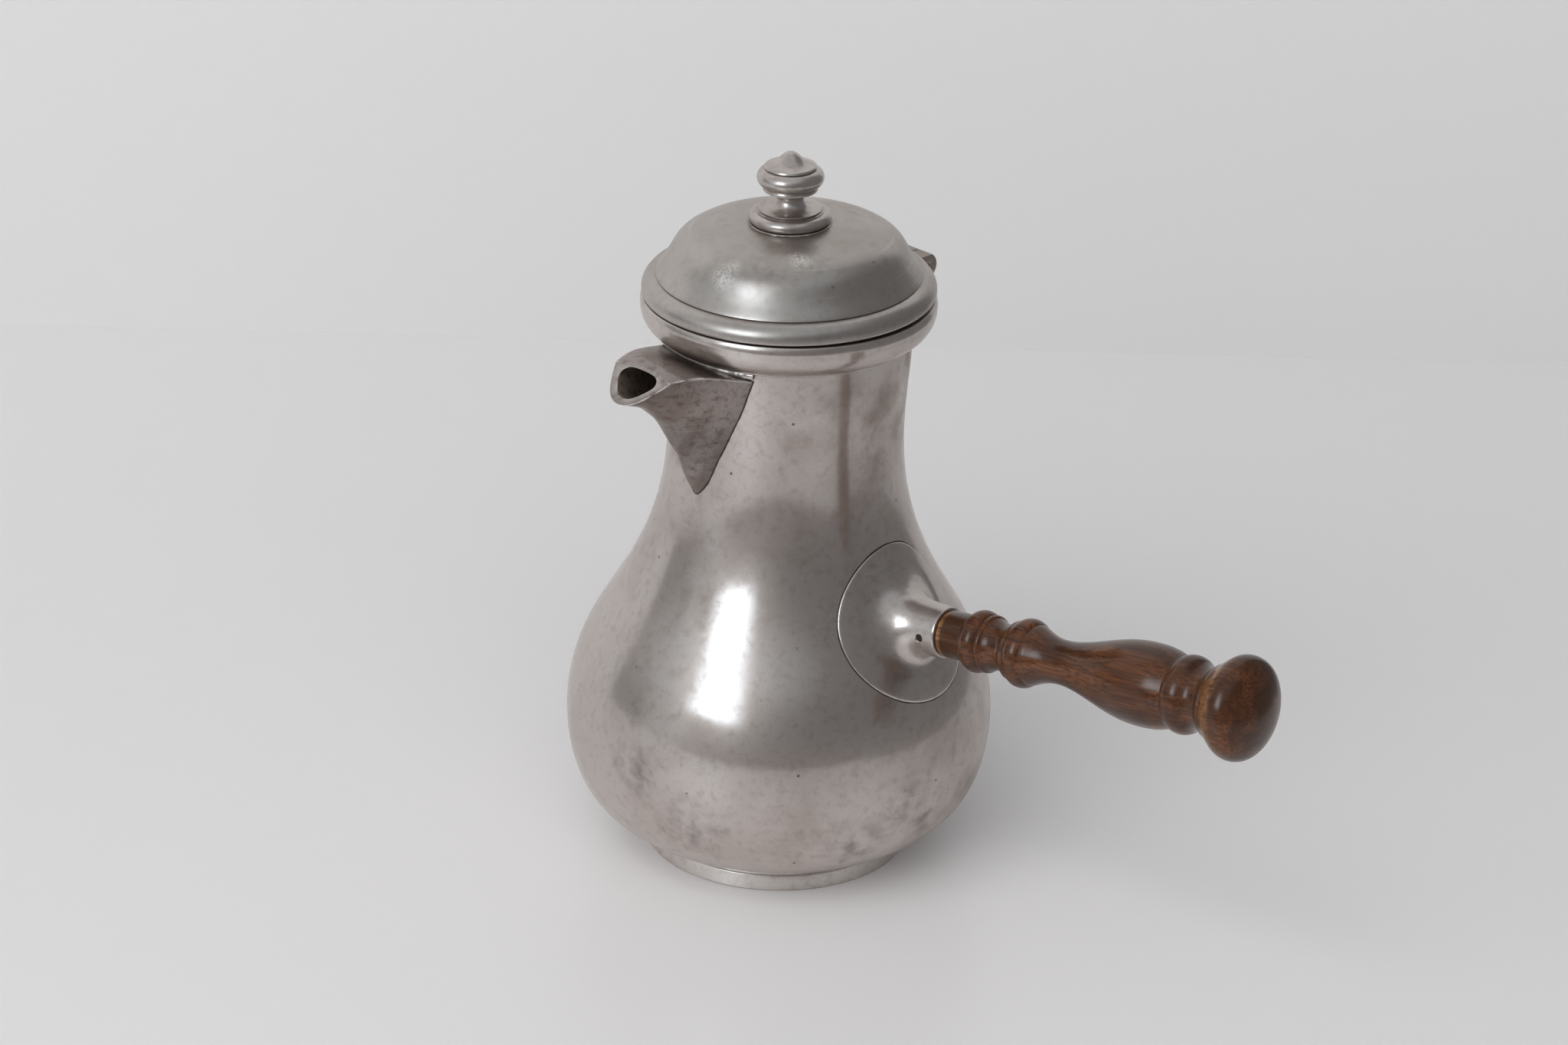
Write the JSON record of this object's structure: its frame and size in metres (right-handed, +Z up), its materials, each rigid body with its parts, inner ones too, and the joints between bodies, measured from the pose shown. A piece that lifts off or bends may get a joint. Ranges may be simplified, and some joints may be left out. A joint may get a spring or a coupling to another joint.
{
  "type": "chocolate pot",
  "caption": "Pear-shaped pewter chocolate pot with a short beak spout, a domed lid hinged at the back, a turned finial and a turned wooden side handle.",
  "frame": {"origin": "middle of the foot ring, on the surface the pot stands on", "axes": "+Z up along the pot's axis; -X towards the spout, +X towards the lid's hinge; the handle comes out near -Y"},
  "size_m": [0.1323, 0.2403, 0.2231],
  "materials": {
    "body_pewter": "satin, worn, grey-brown patina",
    "spout_pewter": "satin, darker patina",
    "socket_pewter": "satin",
    "lid_pewter": "satin, fine scratches",
    "hinge_pewter": "dull",
    "peg_iron": "dull",
    "handle_wood": "glossy dark stain"
  },
  "bodies": {
    "pot": {"body_shell": "body_pewter", "foot_ring": "body_pewter", "rim_collar": "body_pewter", "spout": "spout_pewter", "handle_socket": "socket_pewter", "handle_peg": "peg_iron", "wooden_handle": "handle_wood", "hinge_bracket": "hinge_pewter"},
    "lid": {"lid_shell": "lid_pewter", "lid_bezel": "lid_pewter", "finial": "lid_pewter", "hinge_strap": "hinge_pewter", "hinge_pin": "peg_iron"}
  },
  "joints": [
    {"name": "lid_hinge", "type": "hinge", "parent": "pot", "child": "lid", "pos_m": [0.04854, 0, 0.17748], "axis": [0, 1, 0], "range_deg": [0, 110]}
  ]
}
